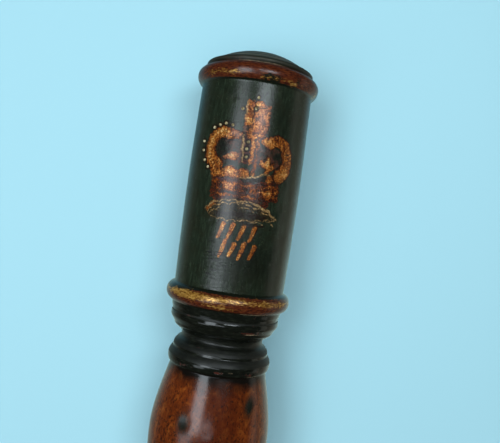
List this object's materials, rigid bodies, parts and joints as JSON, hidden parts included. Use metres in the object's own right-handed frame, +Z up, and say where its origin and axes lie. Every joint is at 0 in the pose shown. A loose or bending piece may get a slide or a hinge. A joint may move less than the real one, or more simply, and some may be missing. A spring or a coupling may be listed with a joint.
{
  "type": "tipstaff",
  "caption": "Short turned wooden ceremonial staff lying on its side: drum head under a low dome, beads at both its ends, ring-turned neck, swelling handle and round pommel.",
  "frame": {"origin": "centre of the staff's bounding box, on the surface it lies on", "axes": "+X along the staff towards the head end, +Z up from the surface it lies on"},
  "size_m": [0.2284, 0.0422, 0.0414],
  "materials": {
    "painted_wood": "one turned billet of close-grained hardwood: the handle varnished red-brown, the neck and cap black, the beads gilded, the drum dark green with a painted crown"
  },
  "bodies": {
    "root": {"staff": "painted_wood"}
  },
  "joints": []
}
